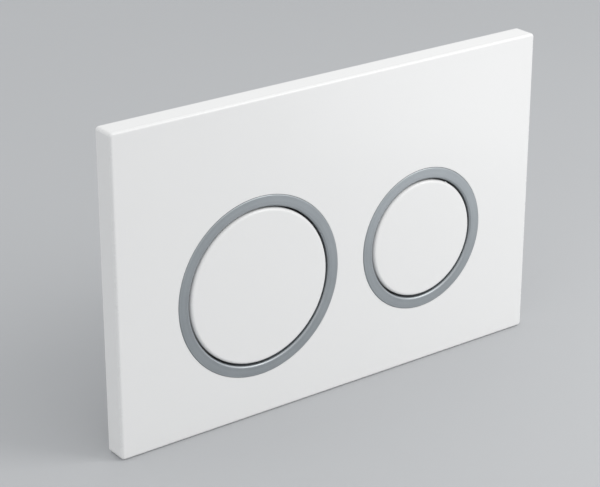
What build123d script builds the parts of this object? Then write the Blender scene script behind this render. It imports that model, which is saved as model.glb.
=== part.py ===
from build123d import *
import os

# Flush button plate for a cistern built into the wall. A white cover holds two round buttons in flat
# trim rings. Behind it are the carrier with the buttons' guides and springs, and the frame that the
# whole plate latches to in the wall opening.
# Millimetres. X runs along the plate, +Y into the wall, +Z up. The origin is the middle of the cover's
# back rim, on the face of the wall.

# Cover plate
plate_width = 246.0
plate_height = 160.0
plate_depth = 12.0
plate_corner_radius = 2.4
plate_front_round = 1.4
plate_back_round = 0.4
plate_skin = 2.5
skirt_wall = 2.4
hollow_corner_radius = 2.0
seat_rib_depth = 1.5
seat_rib_width = 1.8

# Buttons and their places on the cover
full_button_radius = 38.9
part_button_radius = 30.2
button_gap = 1.0
button_drop = 13.0
button_proud = 0.2
button_travel = 6.0
cap_skin = 2.7
cap_wall = 2.0
cap_round = 1.5
cap_lip = 0.9
bead_depth = 0.9
bead_height = 0.5
snap_clearance = 0.1

# Trim rings
ring_face_width = 5.6
ring_spacing = 15.8
ring_proud = 0.3
ring_flange = 1.6
ring_collar_wall = 1.6
ring_collar_depth = 8.0
ring_inner_round = 1.0
ring_outer_round = 0.5
ring_clearance = 0.1
ring_lug_height = 0.7
ring_lug_depth = 1.5
ring_lug_angle = 24.0
ring_lug_count = 4

# Plungers with their guide stems and clips
plunger_plate = 2.0
plunger_clearance = 0.2
stem_inset = 8.0
stem_radius = 2.5
stem_tail = 1.7
guide_clearance = 0.08
rest_gap = 0.1
clip_thickness = 0.8
clip_radius = 4.6
clip_opening_angle = 70.0
groove_depth = 0.6
groove_clearance = 0.05

# Return springs
spring_wire = 0.7
spring_turns = 6
spring_clearance = 0.5
spring_end_gap = 0.1

# Push rods
rod_radius = 3.5
rod_length = 74.0
rod_end_chamfer = 0.6
rod_seat_gap = 0.3
thread_clearance = 0.05
socket_wall = 2.4
socket_depth = 6.5
rod_nut_wall = 3.0
rod_nut_thickness = 5.0
pad_wall = 1.8
pad_depth = 6.0
pad_end = 2.5
pad_round = 1.5

# Carrier
carrier_width = 184.0
carrier_height = 122.0
carrier_corner_radius = 5.0
carrier_plate = 2.5
carrier_rib_thickness = 1.6
carrier_rib_height = 3.0
carrier_rib_rise = 42.0
carrier_rib_drop = 38.0
carrier_rib_inset = 22.0
cup_depth = 5.5
cup_wall = 1.5
cup_floor_thickness = 2.0
guide_sleeve_length = 4.0
guide_sleeve_wall = 1.8
rod_hole_clearance = 1.0

# Rubber stops
buffer_count = 3
buffer_head = 1.5
buffer_radius = 2.4
buffer_neck_radius = 1.4
buffer_barb_radius = 1.9
buffer_barb_depth = 1.2
buffer_clearance = 0.05
stop_clearance = 0.1

# Carrier screws and the cover's bosses
screw_radius = 1.4
screw_length = 10.0
screw_head_radius = 3.0
screw_head_height = 2.0
screw_head_round = 0.8
screw_recess_width = 0.9
screw_recess_length = 3.6
screw_recess_depth = 1.2
screw_clearance = 0.3
boss_wall = 2.2
boss_inset = 7.0
pilot_clearance = 0.05
pilot_spare_depth = 1.0
boss_rib_thickness = 1.2
boss_rib_height = 5.0

# Mounting frame
frame_set_back = 0.5
frame_clearance = 3.0
frame_reach = 4.0
frame_side_bar = 14.0
frame_top_bar = 8.0
frame_skin = 2.5
frame_wall = 2.0
frame_corner_radius = 6.0
frame_window_radius = 5.5

# Distance bolts with their lugs and nuts
bolt_radius = 4.0
bolt_free_length = 29.5
bolt_end_chamfer = 0.8
bolt_thread_radius = 3.4
bolt_thread_tail = 1.5
bolt_collar_radius = 7.0
bolt_collar_thickness = 4.0
bolt_rise = 20.0
bolt_inset = 8.0
lug_thickness = 3.5
lug_margin = 5.0
slot_adjustment = 6.0
slot_clearance = 0.4
clamp_nut_radius = 8.0
clamp_nut_thickness = 5.0
clamp_nut_grip_count = 10
clamp_nut_grip_radius = 1.4
notch_clearance = 1.5

# Hooks and spring latches
hook_spacing = 136.0
hook_width = 12.0
hook_thickness = 3.0
hook_nose = 2.5
hook_catch = 2.5
hook_clearance = 0.3
latch_spacing = 136.0
latch_width = 10.0
latch_strip = 0.6
latch_leg = 15.0
latch_edge_gap = 0.5
latch_catch = 2.0
latch_lead = 0.9
latch_nose_depth = 1.6
latch_tail_depth = 4.4
latch_tail_rise = 4.5
latch_bend_radius = 1.0
rivet_inset = 5.0
rivet_radius = 1.5
rivet_head_radius = 2.6
rivet_head_height = 0.9
rivet_clearance = 0.05

# Places along Y, from the cover's front face back
wall_face = 0.0
front_face = wall_face - plate_depth
skin_back = front_face + plate_skin
seat_rib_back = skin_back + seat_rib_depth
ring_front = front_face - ring_proud
ring_seat = ring_front + ring_flange
collar_back = ring_front + ring_collar_depth
cap_front = front_face - button_proud
cap_back = cap_front + cap_skin
plunger_back = cap_back + plunger_plate
bead_front = plunger_back + snap_clearance
bead_back = bead_front + bead_depth
cap_skirt_back = bead_back + cap_lip
buffer_face = cap_skirt_back + button_travel + stop_clearance
carrier_front = buffer_face + buffer_head
carrier_back = carrier_front + carrier_plate
cup_floor = carrier_front + cup_depth
cup_back = cup_floor + cup_floor_thickness
sleeve_back = cup_back + guide_sleeve_length
clip_front = sleeve_back + rest_gap
clip_back = clip_front + clip_thickness
stem_back = clip_back + stem_tail
socket_back = plunger_back + socket_depth
rod_front = plunger_back + rod_seat_gap
rod_back = rod_front + rod_length
rod_nut_back = socket_back + rod_nut_thickness
pad_front = rod_back - pad_depth
pad_back = rod_back + pad_end
screw_tip = carrier_back - screw_length
screw_head_back = carrier_back + screw_head_height
frame_front = wall_face + frame_set_back
frame_back = carrier_back + frame_reach
lug_front = frame_back - lug_thickness
clamp_nut_front = lug_front - clamp_nut_thickness
bolt_front = clamp_nut_front - bolt_thread_tail
bolt_collar_back = frame_back + bolt_collar_thickness
bolt_back = bolt_collar_back + bolt_free_length
hook_nose_front = frame_back + hook_clearance
hook_nose_back = hook_nose_front + hook_nose

# Radii that follow from the fits
spring_radius = stem_radius + spring_clearance + spring_wire / 2
cup_bore = spring_radius + spring_wire / 2 + spring_clearance
cup_radius = cup_bore + cup_wall
guide_bore = stem_radius + guide_clearance
guide_sleeve_radius = guide_bore + guide_sleeve_wall
socket_bore = rod_radius + thread_clearance
socket_radius = socket_bore + socket_wall
rod_nut_radius = rod_radius + rod_nut_wall
rod_hole_radius = max(rod_nut_radius, socket_radius) + rod_hole_clearance
boss_radius = screw_radius + boss_wall
groove_radius = stem_radius - groove_depth

# Places in the plane of the cover, as (x, z)
full_ring_radius = full_button_radius + button_gap + ring_face_width
part_ring_radius = part_button_radius + button_gap + ring_face_width
half_pair = full_ring_radius + ring_spacing / 2 + part_ring_radius
full_centre = (full_ring_radius - half_pair, -button_drop)
part_centre = (half_pair - part_ring_radius, -button_drop)
ring_gap_middle = full_centre[0] + full_ring_radius + ring_spacing / 2
half_carrier_width = carrier_width / 2
half_carrier_height = carrier_height / 2
boss_column = half_carrier_width - boss_inset
boss_row = half_carrier_height - boss_inset
boss_places = [(x, z) for x in (-boss_column, ring_gap_middle, boss_column) for z in (-boss_row, boss_row)]
half_window_width = half_carrier_width + frame_clearance
half_window_height = half_carrier_height + frame_clearance
bolt_column = half_carrier_width - bolt_inset
buttons = {
    "full_flush": (full_centre, full_button_radius),
    "part_flush": (part_centre, part_button_radius),
}


def slab(outline, front, back):
    """A flat outline of (x, z) places made solid from one Y to another."""
    return extrude(Plane.XZ.offset(-front) * outline, amount=front - back)


def bar(radius, front, back, place):
    """A round bar along Y at a place."""
    return slab(Pos(*place) * Circle(radius), front, back)


def block(left, right, front, back, bottom, top):
    """A box given by its limits."""
    middle = ((left + right) / 2, (bottom + top) / 2)
    return slab(Pos(*middle) * Rectangle(right - left, top - bottom), front, back)


def turned(points, rounds, place):
    """An outline of (radius, y) points turned about a line along Y, with some corners rounded."""
    outline = make_face(Polyline(*points, close=True))
    for corner, radius in rounds:
        outline = fillet(outline.vertices().sort_by_distance(corner)[0], radius)
    return Pos(place[0], 0, place[1]) * revolve(outline, axis=Axis.Y)


def hexagon(radius, front, back, place):
    """A six-sided bar along Y, with its corners at the radius."""
    return slab(Pos(*place) * RegularPolygon(radius, side_count=6), front, back)


def around(place, radius, count, first_angle):
    """Places spread evenly on a circle."""
    step = 360 / count
    spots = [Vector(radius, 0).rotate(Axis.Z, first_angle + step * index) for index in range(count)]
    return [(place[0] + spot.X, place[1] + spot.Y) for spot in spots]


def stem_places(place, button_radius):
    """The places of a button's two guide stems, left and right of its middle."""
    offset = button_radius - cap_wall - plunger_clearance - stem_inset
    return [(place[0] - offset, place[1]), (place[0] + offset, place[1])]


def buffer_places(place, button_radius):
    """The places of the stops under the wall of a button's cap."""
    return around(place, button_radius - cap_wall / 2, buffer_count, 90)


def make_cover_plate():
    outline = RectangleRounded(plate_width, plate_height, plate_corner_radius)
    cover = slab(outline, front_face, wall_face)
    cover = fillet(cover.faces().sort_by(Axis.Y)[0].edges(), plate_front_round)
    cover = fillet(cover.faces().sort_by(Axis.Y)[-1].edges(), plate_back_round)
    hollow_width = plate_width - 2 * skirt_wall
    hollow_height = plate_height - 2 * skirt_wall
    cover -= slab(RectangleRounded(hollow_width, hollow_height, hollow_corner_radius), skin_back, wall_face)
    for place in boss_places:
        skirt = hollow_height / 2
        edges = sorted((place[1], skirt if place[1] > 0 else -skirt))
        rib_left = place[0] - boss_rib_thickness / 2
        rib_right = place[0] + boss_rib_thickness / 2
        cover += block(rib_left, rib_right, skin_back, skin_back + boss_rib_height, *edges)
        cover += bar(boss_radius, skin_back, carrier_front, place)
    for place, button_radius in buttons.values():
        bore = button_radius + button_gap
        ring_radius = bore + ring_face_width
        cover += bar(ring_radius + seat_rib_width, skin_back, seat_rib_back, place)
        cover -= bar(ring_radius + ring_clearance, front_face, ring_seat, place)
        cover -= bar(bore + ring_collar_wall + ring_clearance, front_face, seat_rib_back, place)
    pilot_front = screw_tip - pilot_spare_depth
    for place in boss_places:
        cover -= bar(screw_radius + pilot_clearance, pilot_front, carrier_front, place)
    return cover


def make_ring(place, button_radius):
    bore = button_radius + button_gap
    rim = bore + ring_face_width
    collar = bore + ring_collar_wall
    points = [
        (bore, ring_front),
        (rim, ring_front),
        (rim, ring_seat),
        (collar, ring_seat),
        (collar, collar_back),
        (bore, collar_back),
    ]
    rounds = [((bore, ring_front), ring_inner_round), ((rim, ring_front), ring_outer_round)]
    ring = turned(points, rounds, place)
    lug_front = seat_rib_back + snap_clearance
    lug_back = lug_front + ring_lug_depth
    lug_points = [
        (bore + ring_collar_wall / 2, lug_front),
        (collar + ring_lug_height, lug_front),
        (collar, lug_back),
        (bore + ring_collar_wall / 2, lug_back),
    ]
    lug_outline = make_face(Polyline(*lug_points, close=True))
    lug = revolve(lug_outline, axis=Axis.Y, revolution_arc=ring_lug_angle)
    for index in range(ring_lug_count):
        turn = 360 / ring_lug_count * index
        ring += Pos(place[0], 0, place[1]) * Rot(0, turn, 0) * lug
    return ring


def make_cap(place, button_radius):
    inner = button_radius - cap_wall
    bead = inner - bead_height
    points = [
        (0, cap_front),
        (button_radius, cap_front),
        (button_radius, cap_skirt_back),
        (inner, cap_skirt_back),
        (inner, bead_back),
        (bead, bead_back),
        (bead, bead_front),
        (inner, bead_front),
        (inner, cap_back),
        (0, cap_back),
    ]
    return turned(points, [((button_radius, cap_front), cap_round)], place)


def make_plunger(place, button_radius):
    plunger = bar(button_radius - cap_wall - plunger_clearance, cap_back, plunger_back, place)
    plunger += bar(socket_radius, plunger_back, socket_back, place)
    plunger -= bar(socket_bore, plunger_back, socket_back, place)
    for stem in stem_places(place, button_radius):
        plunger += bar(stem_radius, plunger_back, stem_back, stem)
        groove = bar(stem_radius, clip_front - groove_clearance, clip_back + groove_clearance, stem)
        groove -= bar(groove_radius, clip_front - groove_clearance, clip_back + groove_clearance, stem)
        plunger -= groove
    return plunger


def make_clip(place):
    clip = bar(clip_radius, clip_front, clip_back, place)
    clip -= bar(groove_radius + groove_clearance, clip_front, clip_back, place)
    reach = 2 * clip_radius
    half_angle = clip_opening_angle / 2
    left = Vector(0, -reach).rotate(Axis.Z, -half_angle)
    right = Vector(0, -reach).rotate(Axis.Z, half_angle)
    opening = make_face(Polyline((0, 0), (left.X, left.Y), (right.X, right.Y), close=True))
    return clip - slab(Pos(*place) * opening, clip_front, clip_back)


def make_spring(place):
    first = plunger_back + spring_end_gap + spring_wire / 2
    last = cup_floor - spring_end_gap - spring_wire / 2
    pitch = (last - first) / spring_turns
    path = Helix(pitch, last - first, spring_radius, center=(place[0], first, place[1]), direction=(0, 1, 0))
    section = Plane(path @ 0, z_dir=path % 0) * Circle(spring_wire / 2)
    return sweep(section, path=path, is_frenet=True)


def make_push_rod(place):
    points = [(0, rod_front), (rod_radius, rod_front), (rod_radius, rod_back), (0, rod_back)]
    rod = turned(points, [], place)
    ends = rod.edges().filter_by(GeomType.CIRCLE)
    return chamfer(ends, rod_end_chamfer)


def make_rod_nut(place):
    nut = hexagon(rod_nut_radius, socket_back, rod_nut_back, place)
    return nut - bar(rod_radius + thread_clearance, socket_back, rod_nut_back, place)


def make_rod_pad(place):
    bore = rod_radius + thread_clearance
    rim = bore + pad_wall
    points = [
        (0, rod_back),
        (bore, rod_back),
        (bore, pad_front),
        (rim, pad_front),
        (rim, pad_back),
        (0, pad_back),
    ]
    return turned(points, [((rim, pad_back), pad_round)], place)


def make_carrier_frame():
    carrier = slab(
        RectangleRounded(carrier_width, carrier_height, carrier_corner_radius), carrier_front, carrier_back
    )
    rib_back = carrier_back + carrier_rib_height
    rib_reach = half_carrier_width - carrier_rib_inset
    half_rib = carrier_rib_thickness / 2
    for height in (carrier_rib_rise, -carrier_rib_drop):
        bottom, top = height - half_rib, height + half_rib
        carrier += block(-rib_reach, rib_reach, carrier_front, rib_back, bottom, top)
    rib_left = ring_gap_middle - half_rib
    rib_right = ring_gap_middle + half_rib
    carrier += block(rib_left, rib_right, carrier_front, rib_back, -carrier_rib_drop, carrier_rib_rise)
    for place, button_radius in buttons.values():
        carrier -= bar(rod_hole_radius, carrier_front, rib_back, place)
        for stem in stem_places(place, button_radius):
            carrier += bar(cup_radius, carrier_front, cup_back, stem)
            carrier += bar(guide_sleeve_radius, cup_back, sleeve_back, stem)
            carrier -= bar(cup_bore, carrier_front, cup_floor, stem)
            carrier -= bar(guide_bore, cup_floor, sleeve_back, stem)
        for stop in buffer_places(place, button_radius):
            carrier -= bar(buffer_neck_radius + buffer_clearance, carrier_front, carrier_back, stop)
    for place in boss_places:
        carrier -= bar(screw_radius + screw_clearance, carrier_front, carrier_back, place)
    notch_reach = clamp_nut_radius + notch_clearance
    notch_height = slot_adjustment + notch_reach
    for side in (-1, 1):
        sides = sorted((side * (bolt_column - notch_reach), side * half_carrier_width))
        low, high = bolt_rise - notch_height, bolt_rise + notch_height
        carrier -= block(*sides, carrier_front, carrier_back, low, high)
        hook_left = side * hook_spacing / 2 - hook_width / 2
        hook_right = hook_left + hook_width
        foot = half_carrier_height - hook_thickness
        catch = half_window_height + hook_catch
        carrier += block(hook_left, hook_right, carrier_front, hook_nose_back, foot, half_carrier_height)
        carrier += block(hook_left, hook_right, hook_nose_front, hook_nose_back, foot, catch)
        rivet = latch_rivet_place(side)
        carrier -= bar(rivet_radius + rivet_clearance, carrier_front, carrier_back, rivet)
    return carrier


def make_stop_buffer(place):
    points = [
        (0, buffer_face),
        (buffer_radius, buffer_face),
        (buffer_radius, carrier_front),
        (buffer_neck_radius, carrier_front),
        (buffer_neck_radius, carrier_back),
        (buffer_barb_radius, carrier_back),
        (buffer_neck_radius, carrier_back + buffer_barb_depth),
        (0, carrier_back + buffer_barb_depth),
    ]
    return turned(points, [], place)


def make_carrier_screw(place):
    points = [
        (0, screw_tip),
        (screw_radius, screw_tip),
        (screw_radius, carrier_back),
        (screw_head_radius, carrier_back),
        (screw_head_radius, screw_head_back),
        (0, screw_head_back),
    ]
    screw = turned(points, [((screw_head_radius, screw_head_back), screw_head_round)], place)
    recess = Rectangle(screw_recess_length, screw_recess_width)
    recess += Rectangle(screw_recess_width, screw_recess_length)
    return screw - slab(Pos(*place) * recess, screw_head_back - screw_recess_depth, screw_head_back)


def make_mounting_frame():
    window = RectangleRounded(2 * half_window_width, 2 * half_window_height, frame_window_radius)
    outer_width = 2 * (half_window_width + frame_side_bar)
    outer_height = 2 * (half_window_height + frame_top_bar)
    outer = RectangleRounded(outer_width, outer_height, frame_corner_radius)
    channel = RectangleRounded(
        outer_width - 2 * frame_wall, outer_height - 2 * frame_wall, frame_corner_radius
    ) - RectangleRounded(
        2 * (half_window_width + frame_wall), 2 * (half_window_height + frame_wall), frame_window_radius
    )
    frame = slab(outer - window, frame_front, frame_back)
    frame -= slab(channel, frame_front + frame_skin, frame_back)
    slot_radius = bolt_thread_radius + slot_clearance
    lug_reach = slot_radius + lug_margin
    half_lug = slot_adjustment + lug_reach
    for side in (-1, 1):
        sides = sorted((side * (bolt_column - lug_reach), side * (half_window_width + frame_wall)))
        frame += block(*sides, lug_front, frame_back, bolt_rise - half_lug, bolt_rise + half_lug)
        slot = SlotCenterToCenter(2 * slot_adjustment, 2 * slot_radius, rotation=90)
        frame -= slab(Pos(side * bolt_column, bolt_rise) * slot, lug_front, frame_back)
    return frame


def make_distance_bolt(place):
    points = [
        (0, bolt_front),
        (bolt_thread_radius, bolt_front),
        (bolt_thread_radius, bolt_collar_back),
        (bolt_radius, bolt_collar_back),
        (bolt_radius, bolt_back - bolt_end_chamfer),
        (bolt_radius - bolt_end_chamfer, bolt_back),
        (0, bolt_back),
    ]
    return turned(points, [], place) + hexagon(bolt_collar_radius, frame_back, bolt_collar_back, place)


def make_clamp_nut(place):
    nut = bar(clamp_nut_radius, clamp_nut_front, lug_front, place)
    for grip in around(place, clamp_nut_radius, clamp_nut_grip_count, 0):
        nut -= bar(clamp_nut_grip_radius, clamp_nut_front, lug_front, grip)
    return nut - bar(bolt_thread_radius + thread_clearance, clamp_nut_front, lug_front, place)


def latch_rivet_place(side):
    """The place of the rivet that holds one latch spring on the carrier."""
    return (side * latch_spacing / 2, latch_leg - half_carrier_height - rivet_inset)


def make_latch_spring(side):
    x = side * latch_spacing / 2
    leg_y = carrier_back + latch_strip / 2
    leg_top = latch_leg - half_carrier_height
    leg_bottom = latch_edge_gap - half_carrier_height
    nose_y = frame_back + latch_nose_depth
    nose_z = -half_window_height - latch_catch
    path = FilletPolyline(
        (x, leg_y, leg_top),
        (x, leg_y, leg_bottom),
        (x, frame_back - latch_lead, leg_bottom),
        (x, nose_y, nose_z),
        (x, nose_y + latch_tail_depth, nose_z + latch_tail_rise),
        radius=latch_bend_radius,
    )
    section = Plane(path @ 0, x_dir=(1, 0, 0), z_dir=path % 0) * Rectangle(latch_width, latch_strip)
    strip = sweep(section, path=path)
    hole = bar(rivet_radius + rivet_clearance, carrier_back, carrier_back + latch_strip, latch_rivet_place(side))
    return strip - hole


def make_latch_rivet(side):
    strip_back = carrier_back + latch_strip
    points = [
        (0, carrier_front - rivet_head_height),
        (rivet_head_radius, carrier_front - rivet_head_height),
        (rivet_head_radius, carrier_front),
        (rivet_radius, carrier_front),
        (rivet_radius, strip_back),
        (rivet_head_radius, strip_back),
        (rivet_head_radius, strip_back + rivet_head_height),
        (0, strip_back + rivet_head_height),
    ]
    return turned(points, [], latch_rivet_place(side))


def make_nodes():
    """Every node by its name."""
    nodes = {
        "cover_plate": make_cover_plate(),
        "carrier_frame": make_carrier_frame(),
        "carrier_screws": Compound([make_carrier_screw(place) for place in boss_places]),
        "mounting_frame": make_mounting_frame(),
        "latch_rivets": Compound([make_latch_rivet(side) for side in (-1, 1)]),
    }
    stops = []
    for name, (place, button_radius) in buttons.items():
        stems = stem_places(place, button_radius)
        stops += [make_stop_buffer(stop) for stop in buffer_places(place, button_radius)]
        nodes[name + "_ring"] = make_ring(place, button_radius)
        nodes[name + "_cap"] = make_cap(place, button_radius)
        nodes[name + "_plunger"] = make_plunger(place, button_radius)
        nodes[name + "_clips"] = Compound([make_clip(stem) for stem in stems])
        nodes[name + "_spring_left"] = make_spring(stems[0])
        nodes[name + "_spring_right"] = make_spring(stems[1])
        nodes[name + "_push_rod"] = make_push_rod(place)
        nodes[name + "_rod_nut"] = make_rod_nut(place)
        nodes[name + "_rod_pad"] = make_rod_pad(place)
    nodes["stop_buffers"] = Compound(stops)
    for side, word in ((-1, "left"), (1, "right")):
        place = (side * bolt_column, bolt_rise)
        nodes["distance_bolt_" + word] = make_distance_bolt(place)
        nodes["clamp_nut_" + word] = make_clamp_nut(place)
        nodes["latch_spring_" + word] = make_latch_spring(side)
    return nodes


os.makedirs("parts", exist_ok=True)
for node_name, solid in make_nodes().items():
    export_step(solid, "parts/" + node_name + ".step")
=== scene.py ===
"""Looks of a flush button plate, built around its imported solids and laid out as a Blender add-on."""
from functools import partial
import math

import bmesh
import bpy
from bpy.props import FloatProperty, FloatVectorProperty, IntProperty, PointerProperty
from mathutils import Matrix, Vector


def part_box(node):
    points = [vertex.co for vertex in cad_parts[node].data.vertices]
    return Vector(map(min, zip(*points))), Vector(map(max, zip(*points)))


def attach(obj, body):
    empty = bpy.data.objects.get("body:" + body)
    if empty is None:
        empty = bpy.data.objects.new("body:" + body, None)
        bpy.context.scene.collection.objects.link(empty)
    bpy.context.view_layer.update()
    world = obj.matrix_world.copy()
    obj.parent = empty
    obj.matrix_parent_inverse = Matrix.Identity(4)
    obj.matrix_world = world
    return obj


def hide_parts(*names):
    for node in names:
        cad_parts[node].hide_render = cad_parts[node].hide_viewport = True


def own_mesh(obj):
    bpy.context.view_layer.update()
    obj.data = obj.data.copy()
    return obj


bl_info = {
    "name": "Flush Button Plate",
    "version": (1, 0, 0),
    "blender": (4, 5, 0),
    "location": "View3D > Sidebar > Flush Plate",
    "description": "Builds the pieces, finishes and stage of a flush button plate around its solids",
    "category": "Object",
}

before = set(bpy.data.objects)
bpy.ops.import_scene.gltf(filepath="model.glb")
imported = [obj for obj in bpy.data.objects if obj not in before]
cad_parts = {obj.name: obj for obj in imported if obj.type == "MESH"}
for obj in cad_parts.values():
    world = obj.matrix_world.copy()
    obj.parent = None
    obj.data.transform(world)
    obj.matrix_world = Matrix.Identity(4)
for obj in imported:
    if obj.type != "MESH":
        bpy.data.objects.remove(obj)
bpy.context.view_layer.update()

BUTTONS = ("full_flush", "part_flush")
SIDES = ("left", "right")
PLATE_BODY = "plate"

# Limits for merging, smoothing and marking the meshes
AXIS_RADIUS = 1e-7
MERGE_DISTANCE = 1e-6
FLAT_ANGLE = math.radians(0.2)
SMOOTH_ANGLE = math.radians(32)
WORN_ANGLE = math.radians(8)
FINE_WIDTH = 0.0005
EDGE_MARK = "edge"

# Steps of arcs and circles, and rows of points in a thread's pitch
ARC_STEPS = 6
CORNER_STEPS = 8
CAP_ARC_STEPS = 10
WIRE_STEPS = 12
HOLE_STEPS = 24
BAR_STEPS = 32
COIL_STEPS = 36
HEAD_STEPS = 40
BORE_STEPS = 48
SCREW_STEPS = 48
PAD_STEPS = 64
LENS_STEPS = 96
NUT_STEPS = 120
PITCH_ROWS = 8

# Shares of a piece's half width, half height or length where its marks and grooves lie
PIN_ROW = 0.86
PIN_COLUMNS = (-0.86, -0.44, 0.36, 0.86)
CARRIER_PINS = ((0.43, 0.84), (0.43, -0.84), (0.72, -0.5), (0.26, -0.5))
PAD_GROOVES = (0.3, 0.5)

# Shares that shape small forms: a seat's edge, a lug's root, a hexagon's blank and a thread's flanks
EDGE_BULGE = 0.3
LUG_SINK = 0.99
HEX_SPARE = 1.001
FLANK_SLOPE = 1.7

# Patterns of the finishes: the part of each noise that is used, the lie of streaks and the drift of lines
NOISE_REACH = (0.3, 0.7)
STREAK_REACH = (0.56, 0.72)
STREAK_PATCH_REACH = (0.42, 0.62)
WEAR_REACH = (0.32, 0.62)
STREAK_TURN = (0.4, 0.7, 0.3)
STREAK_STRETCH = (1, 0.12, 0.05)
STREAK_PATCH_SCALE = 60.0
LINE_DRIFT = 0.0004
LINE_DRIFT_SCALE = 90.0

# How the patterns are mixed, how high they stand for their size, and how handling dulls them
GRAIN_AND_CLOUD = (0.35, 0.65)
FINE_AND_BROAD = (0.45, 0.55)
LINES_AND_GRAIN = (0.6, 0.4)
PATTERN_AND_CLOUD = (0.7, 0.3)
BROAD_LINES = 5
GRAIN_HEIGHT = 0.35
LINE_HEIGHT = 0.1
STREAKS_AND_WEAR = (0.25, 0.1)
METAL_STREAKS = 0.1
FLOOR_SPREAD = 0.01
FLOOR_ROUGHNESS = 0.8


# Settings that a user would change


def length(label, text, default):
    """A length in metres."""
    return FloatProperty(name=label, description=text, default=default, precision=5, unit="LENGTH")


def number(label, text, default, least):
    """A whole number and its least value."""
    return IntProperty(name=label, description=text, default=default, min=least)


def colour(label, text, default):
    """A colour of a finish or a light."""
    return FloatVectorProperty(name=label, description=text, default=default, subtype="COLOR", min=0, max=1)


def position(label, text, default):
    """A place in metres."""
    return FloatVectorProperty(
        name=label, description=text, default=default, subtype="TRANSLATION", unit="LENGTH",
    )


def lamp_power(label, text, default):
    """The power of a lamp in watts."""
    return FloatProperty(name=label, description=text, default=default, unit="POWER")


class CoverSizes(bpy.types.PropertyGroup):
    """Sizes of the cover that its box doesn't give."""

    corner_radius: length("Corner radius", "Radius of the four corners seen from the front", 0.0018)
    front_round: length("Front round", "Round along the edge of the front face", 0.0014)
    back_round: length("Back round", "Round along the edge of the rim behind", 0.0004)
    skin: length("Skin", "Thickness of the front", 0.0025)
    skirt: length("Skirt", "Thickness of the four sides", 0.0024)
    hollow_corner: length("Hollow corner", "Radius of the corners inside", 0.002)
    root_round: length("Root round", "Round where the skirt meets the skin inside", 0.0006)
    seat_edge: length("Seat edge", "Round of the edge around each ring", 0.0002)
    seat_clearance: length("Seat clearance", "Gap around each ring", 0.0001)
    seat_rib_width: length("Seat rib width", "Width of the rib around each ring seat, behind", 0.0018)
    seat_rib_depth: length("Seat rib depth", "Height of the rib around each ring seat, behind", 0.0015)
    boss_radius: length("Boss radius", "Radius of the screw bosses", 0.0036)
    pilot_radius: length("Pilot radius", "Radius of the holes in the bosses", 0.00145)
    pilot_floor: length("Pilot floor", "Distance of those holes from the skin", 0.003)
    boss_rib: length("Boss rib", "Thickness of the ribs that tie the bosses to the skirt", 0.0012)
    boss_rib_height: length("Boss rib height", "Height of those ribs", 0.005)
    pin_mark_radius: length("Pin mark radius", "Radius of the mould's pin marks inside", 0.003)
    pin_mark_depth: length("Pin mark depth", "Depth of the mould's pin marks inside", 0.0002)


class TrimSizes(bpy.types.PropertyGroup):
    """Sizes of the trim rings."""

    flange: length("Flange", "Thickness of the ring's face", 0.0016)
    gap: length("Gap", "Gap between ring and button", 0.001)
    collar_wall: length("Collar wall", "Thickness of the collar behind the face", 0.0016)
    inner_round: length("Inner round", "Round of the edge beside the button", 0.001)
    outer_round: length("Outer round", "Round of the outer edge", 0.0005)
    lug_height: length("Lug height", "Height of the snap lugs on the collar", 0.0007)
    lug_depth: length("Lug depth", "Length of the snap lugs along the collar", 0.0015)
    lug_gap: length("Lug gap", "Gap between the snap lugs and the cover", 0.0001)
    lug_width: length("Lug width", "Width of the snap lugs", 0.0165)
    lug_count: number("Lugs", "Number of snap lugs", 4, 1)
    steps: number("Steps", "Faces around a ring or button", 192, 24)


class ButtonSizes(bpy.types.PropertyGroup):
    """Sizes of the button caps."""

    edge_round: length("Edge round", "Round of the cap's front edge", 0.0015)
    wall: length("Wall", "Thickness of the cap's wall", 0.002)
    skin: length("Skin", "Thickness of the cap's face", 0.0027)
    plunger: length("Plunger", "Thickness of the plunger's plate in the cap", 0.0021)
    bead_height: length("Bead height", "Height of the snap bead inside", 0.0005)
    bead_depth: length("Bead depth", "Length of the snap bead along the wall", 0.0009)


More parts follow.
